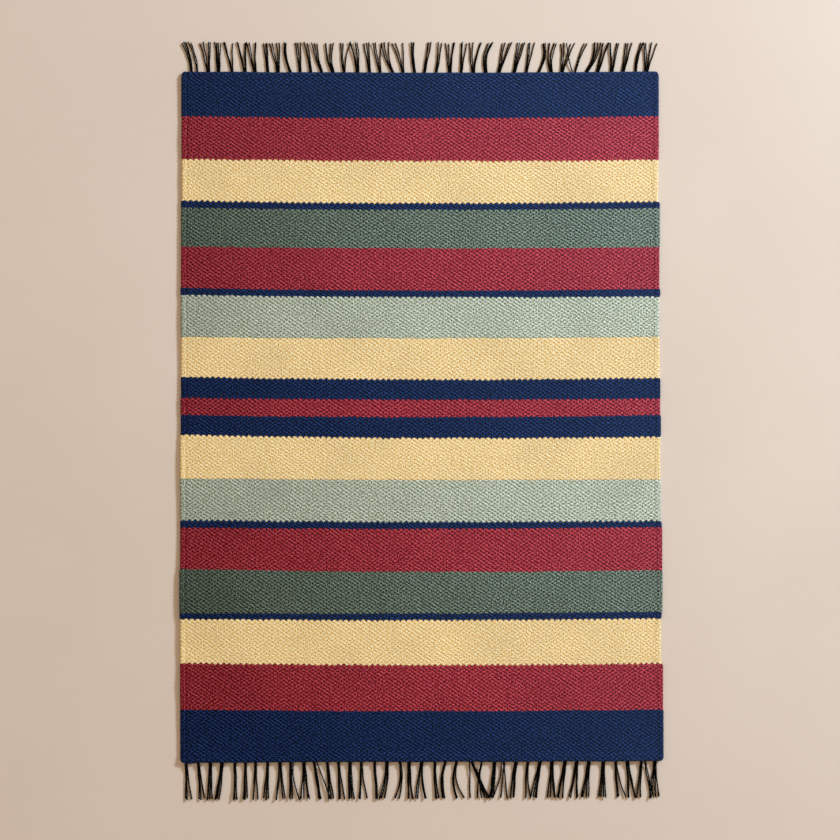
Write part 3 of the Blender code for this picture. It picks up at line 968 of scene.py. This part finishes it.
def build_warp_ends(end, tufts, material):
    """The twisted yarns at one end, from inside the heading to their tips."""
    rng = Random(SEED + (1 if end == "far" else -1))
    paths = yarn_paths(tufts, FAN_START[end])
    shortfalls = [rng.uniform(0, LENGTH_SPREAD) for _ in paths]
    longest = min(shortfalls)
    sides = len(PLY_SIDES)
    loops_of_one, starts_of_one = yarn_faces(sides)
    points, loops, starts, woven, spots = [], [], [], [], []
    for number, ((_, places), height) in enumerate(zip(paths, settled(paths))):
        to_right = 0.5 + places[-1] / (2 * REACH_ACROSS)
        fallen_short = shortfalls[number] - longest + SHORTER_AT_RIGHT[end] * MM * to_right
        centres, flare = yarn_route(end, places, height, fallen_short, rng)
        ring_points, deep, gone = yarn_rings(centres, rng.uniform(0, 2 * pi), flare)
        points.append(ring_points.reshape(-1, 3))
        loops.append(loops_of_one + number * (YARN_STEPS + 1) * sides)
        starts.append(starts_of_one + number * len(loops_of_one))
        where = np.broadcast_to(gone[:, None] / MM, deep.shape)
        woven.append(np.stack([where, np.full_like(where, number), deep], axis=-1))
        spots.append(yarn_map(number, YARN_STEPS, sides))
    loops, starts = np.concatenate(loops), np.concatenate(starts)
    points = np.concatenate(points)
    obj = new_piece(end + "_warp_ends", points, loops, starts, True, 0, [material])
    add_vectors(obj, "weave", np.concatenate([part.reshape(-1, 3) for part in woven]))
    add_map(obj, np.concatenate(spots))
    return obj


# Materials


def linear(colour):
    """An sRGB colour from 0 to 255 as the linear one that a shader takes."""
    values = []
    for value in colour:
        share = value / 255
        values.append(share / 12.92 if share <= 0.04045 else ((share + 0.055) / 1.055) ** 2.4)
    return (*values, 1.0)


class Nodes:
    """Adds nodes to a material's tree and links them in one call each."""

    def __init__(self, name):
        self.material = bpy.data.materials.new(name)
        self.material.use_nodes = True
        self.tree = self.material.node_tree
        self.shader = self.tree.nodes["Principled BSDF"]

    def add(self, kind, inputs=None, **settings):
        """A node of this kind, with its inputs set or linked."""
        node = self.tree.nodes.new(kind)
        for key, value in settings.items():
            setattr(node, key, value)
        for key, value in (inputs or {}).items():
            self.put(value, node.inputs[key])
        return node

    def put(self, value, socket):
        """Links another node's output to the socket, or sets the socket to a plain value."""
        if isinstance(value, bpy.types.NodeSocket):
            self.tree.links.new(value, socket)
        else:
            socket.default_value = value

    def math(self, operation, a, b=0.0):
        """The result of one operation on two values."""
        return self.add("ShaderNodeMath", {0: a, 1: b}, operation=operation).outputs[0]

    def parts(self, attribute):
        """The three numbers that the mesh keeps for each point under this name."""
        found = self.add("ShaderNodeAttribute", attribute_name=attribute).outputs["Vector"]
        return self.add("ShaderNodeSeparateXYZ", {0: found}).outputs

    def blend(self, share, low, high):
        """The value this share of the way from low to high."""
        return self.add("ShaderNodeMix", {0: share, 2: low, 3: high}).outputs[0]

    def wave(self, value):
        """A full wave for every two steps of the value."""
        return self.math("COSINE", self.math("MULTIPLY", value, pi))

    def noise(self, scale, stretch, detail, dimensions):
        """A noise from 0 to 1 over the rug, stretched where the numbers are under 1."""
        place = self.add("ShaderNodeTexCoord").outputs["Object"]
        moved = self.add("ShaderNodeMapping", {"Vector": place, "Scale": stretch}).outputs[0]
        inputs = {"Vector": moved, "Scale": scale, "Detail": detail}
        return self.add("ShaderNodeTexNoise", inputs, noise_dimensions=dimensions).outputs[0]

    def swung(self, value, noise, width):
        """The value, moved up and down by a noise that is made as wide as this."""
        swing = self.math("MULTIPLY", self.math("SUBTRACT", noise, 0.5), width)
        return self.math("ADD", value, swing)

    def ramp(self, factor, stops):
        """A colour ramp with a stop for each position and colour."""
        stops = list(stops)
        node = self.add("ShaderNodeValToRGB", {0: factor})
        elements = node.color_ramp.elements
        while len(elements) < len(stops):
            elements.new(0.5)
        for element, (position, colour) in zip(elements, stops):
            element.position = position
            element.color = linear(colour)
        return node.outputs[0]


def depth_in_weave(nodes):
    """From 0 on a ridge of the weft to 1 in a pit, as in the mesh but finer, and the selvedge's
    own ribs and stitches."""
    warps, picks, slanted = nodes.parts("weave")
    in_cord, stitches, ribs = nodes.parts("selvedge")
    down = nodes.wave(nodes.math("SUBTRACT", warps, picks))
    up = nodes.wave(nodes.math("ADD", warps, picks))
    high = nodes.blend(slanted, up, down)
    low = nodes.math("MULTIPLY", nodes.math("SUBTRACT", 1.0, high), 0.5)
    field = nodes.math("POWER", nodes.math("MAXIMUM", low, 0.0), PIT_SHARPNESS)
    cord = nodes.math("SUBTRACT", CORD_LEVEL, nodes.math("MULTIPLY", ribs, RIB_SHARE))
    deep = nodes.blend(in_cord, field, cord)
    return nodes.math("ADD", deep, nodes.math("MULTIPLY", stitches, STITCH_SHARE))


def clamped(nodes, value):
    """The value, held between 0 and 1."""
    return nodes.add("ShaderNodeClamp", {0: value}).outputs[0]


def uneven_value_and_painted_light(nodes, across, paler, finish):
    """The brightness of the wool: uneven from pick to pick and in patches, with painted light that
    brightens it towards the right and the far end, and painted shade that dims it towards its
    left side."""
    picks, patches = nodes.noise(*UNEVEN_PICKS), nodes.noise(*PATCHES)
    value = nodes.swung(1.0, picks, finish.swing)
    value = nodes.swung(value, patches, PATCH_SWING)
    value = nodes.swung(value, paler, finish.paler)
    # Painted shade: the value drops towards the left side
    from_left = nodes.math("MULTIPLY", nodes.math("ADD", across, 0.5), PAINTED_SHADE_ACROSS)
    shade = nodes.math("SUBTRACT", 1.0, clamped(nodes, from_left))
    return nodes.math("SUBTRACT", value, nodes.math("MULTIPLY", shade, finish.darker))


def yarn_colour(nodes, deep, fibres, locks, stops, finish):
    """The colour of a yarn, from how deep each place lies, with painted light and painted shade
    across the rug and a painted sheen towards its right and far end.
    """
    uneven = nodes.swung(deep, fibres, FIBRE_SWING)
    uneven = nodes.swung(uneven, locks, LOCK_SWING)
    # The ramp paints highlights on the ridges and shade in the pits, besides the shading of the
    # real relief
    colour = nodes.ramp(uneven, stops)
    place = nodes.add("ShaderNodeTexCoord").outputs["Object"]
    place = nodes.add("ShaderNodeSeparateXYZ", {0: place}).outputs
    # Painted light: a share that grows towards the right and the far end of the rug
    paler = nodes.math("ADD", 0.5, nodes.math("MULTIPLY", place[0], PAINTED_LIGHT_ACROSS))
    paler = nodes.math("ADD", paler, nodes.math("MULTIPLY", place[1], PAINTED_LIGHT_ALONG))
    paler = clamped(nodes, paler)
    # A painted sheen, mixed in where the painted light is strongest
    share = nodes.math("MULTIPLY", paler, finish.fade)
    inputs = {0: share, 6: colour, 7: linear(PAINTED_SHEEN_COLOUR)}
    colour = nodes.add("ShaderNodeMix", inputs, data_type="RGBA").outputs[2]
    value = uneven_value_and_painted_light(nodes, place[0], paler, finish)
    hue = nodes.swung(PLAIN_HUE, locks, LOCK_HUES)
    inputs = {"Color": colour, "Value": value, "Hue": hue}
    return nodes.add("ShaderNodeHueSaturation", inputs).outputs[0]


def yarn_bump(nodes, deep, fibres, locks, finish):
    """The fine relief of a yarn: its fibres and locks, and the weave."""
    height = nodes.math("ADD", fibres, nodes.math("MULTIPLY", locks, LOCK_RELIEF))
    height = nodes.math("MULTIPLY", height, finish.fibres)
    height = nodes.math("SUBTRACT", height, nodes.math("MULTIPLY", deep, finish.relief))
    inputs = {"Strength": BUMP_STRENGTH, "Distance": BUMP_DISTANCE, "Height": height}
    return nodes.add("ShaderNodeBump", inputs).outputs[0]


def finish_yarn(nodes, deep, stops, finish):
    """The colour, the fibres and the sheen of a yarn, from how deep each place lies."""
    fibres, locks = nodes.noise(*FIBRES), nodes.noise(*LOCKS)
    colour = yarn_colour(nodes, deep, fibres, locks, stops, finish)
    sockets = nodes.shader.inputs
    nodes.put(colour, sockets["Base Color"])
    nodes.put(yarn_bump(nodes, deep, fibres, locks, finish), sockets["Normal"])
    sockets["Roughness"].default_value = YARN_ROUGHNESS
    sockets["Specular IOR Level"].default_value = finish.gloss
    sockets["Sheen Weight"].default_value = finish.sheen
    sockets["Sheen Roughness"].default_value = SHEEN_ROUGHNESS
    return nodes.material


def wool_material(name, wool):
    """The weft of one colour."""
    nodes = Nodes(name + "_wool")
    stops = zip(WOOL_STOPS, (wool.ridge, wool.body, wool.body, wool.pit))
    finish = WOOL_FINISH._replace(relief=wool.relief, paler=wool.paler, darker=wool.darker)
    return finish_yarn(nodes, depth_in_weave(nodes), stops, finish)


def warp_material():
    """The near-black yarn of the warps."""
    nodes = Nodes("warp_yarn")
    lit, body, pit = WARP_COLOURS
    stops = zip(WARP_STOPS, (lit, body, body, pit))
    return finish_yarn(nodes, nodes.parts("weave")[2], stops, WARP_FINISH)


def floor_material():
    """A plain pale floor with hardly any pattern."""
    nodes = Nodes("plain_floor")
    clouds, grit = nodes.noise(*CLOUDS), nodes.noise(*GRIT)
    factor = nodes.swung(clouds, grit, GRIT_SWING)
    colour = nodes.ramp(factor, zip(FLOOR_STOPS, FLOOR_COLOURS))
    nodes.put(colour, nodes.shader.inputs["Base Color"])
    nodes.shader.inputs["Roughness"].default_value = FLOOR_ROUGHNESS
    nodes.shader.inputs["Specular IOR Level"].default_value = FLOOR_GLOSS
    return nodes.material


# The stage. Directions are in degrees, and the lens and its sensor in millimetres.

FLOOR_RADIUS = 14.0
FLOOR_SIDES = 64
FLOOR_DROP = 0.05 * MM
LENS = 85.0
SENSOR = 36.0
FARTHEST = 60.0
VIEW_WIDTH = 1.5816
VIEW_CENTRE = (-2.3 * MM, 1.7 * MM)
KEY_DIRECTION = 36.0
KEY_ELEVATION = 29.5
KEY_DISTANCE = 6.2
KEY_SIZE = 1.1
KEY_POWER = 510.0
KEY_COLOUR = (0.72, 0.895, 1.09)
ROOM_COLOUR = (1.0, 0.79, 0.59, 1.0)
ROOM_STRENGTH = 0.635


def build_floor():
    """A wide round floor, just under the rug."""
    corners = np.arange(FLOOR_SIDES)
    angles = corners / FLOOR_SIDES * 2 * pi
    ring = np.stack([np.cos(angles), np.sin(angles), np.zeros(FLOOR_SIDES)], axis=1)
    points = np.concatenate([[(0, 0, 0)], ring * FLOOR_RADIUS])
    middle = np.zeros(FLOOR_SIDES, int)
    faces = np.stack([middle, corners + 1, np.roll(corners, -1) + 1], axis=1)
    starts = corners * 3
    floor = new_piece("floor", points, faces.ravel(), starts, False, 0, [floor_material()])
    floor.location.z = -FLOOR_DROP


def build_lights():
    """One lamp from the upper right, and an even room light."""
    around, above = radians(KEY_DIRECTION), radians(KEY_ELEVATION)
    towards = Vector((cos(around) * cos(above), sin(around) * cos(above), sin(above)))
    light = bpy.data.lights.new("key", "AREA")
    light.shape = "DISK"
    light.size = KEY_SIZE
    light.energy = KEY_POWER
    light.color = KEY_COLOUR
    lamp = in_scene("key", light)
    lamp.location = towards * KEY_DISTANCE
    lamp.rotation_euler = towards.to_track_quat("Z", "Y").to_euler()

    world = bpy.data.worlds.new("soft_room")
    world.use_nodes = True
    background = world.node_tree.nodes["Background"]
    background.inputs[0].default_value = ROOM_COLOUR
    background.inputs[1].default_value = ROOM_STRENGTH
    bpy.context.scene.world = world


def build_camera():
    """The camera, straight above the rug as in the photograph."""
    camera = bpy.data.cameras.new("camera")
    camera.lens = LENS
    camera.sensor_width = SENSOR
    camera.clip_end = FARTHEST
    obj = in_scene("camera", camera)
    height = VIEW_WIDTH * LENS / SENSOR
    obj.location = (*VIEW_CENTRE, THICKNESS + height)
    bpy.context.scene.camera = obj
    bpy.context.scene.view_settings.view_transform = "Standard"


def stand_in(piece, node):
    """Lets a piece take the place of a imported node."""
    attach(piece, "root")
    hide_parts(node)


def build_band(number, first, last, wools):
    """One band of the woven cloth, without the picks of the headings."""
    start, stop = BANDS[number]
    from_pick = max(BORDERS[start], first + HEADING_PICKS)
    to_pick = min(BORDERS[stop], last - HEADING_PICKS)
    band = build_cloth(f"cloth_band_{number + 1}", from_pick, to_pick, wools)
    stand_in(band, "woven_cloth")


def main():
    """The rug and its stage."""
    wools = {name: wool_material(name, wool) for name, wool in WOOLS.items()}
    warp = warp_material()
    first, last = BORDERS[0], BORDERS[-1]
    headings = {
        "far": build_cloth("far_heading", first, first + HEADING_PICKS, wools),
        "near": build_cloth("near_heading", last - HEADING_PICKS, last, wools),
    }
    warp_ends = {
        "far": build_warp_ends("far", FAR_TUFTS, warp),
        "near": build_warp_ends("near", NEAR_TUFTS, warp),
    }
    for end in ("far", "near"):
        stand_in(headings[end], end + "_fringe")
        stand_in(warp_ends[end], end + "_fringe")
    ends = {0: "far", len(BANDS) - 1: "near"}
    for number in range(len(BANDS)):
        end = ends.get(number)
        build_band(number, first, last, wools)
    build_floor()
    build_lights()
    build_camera()


main()
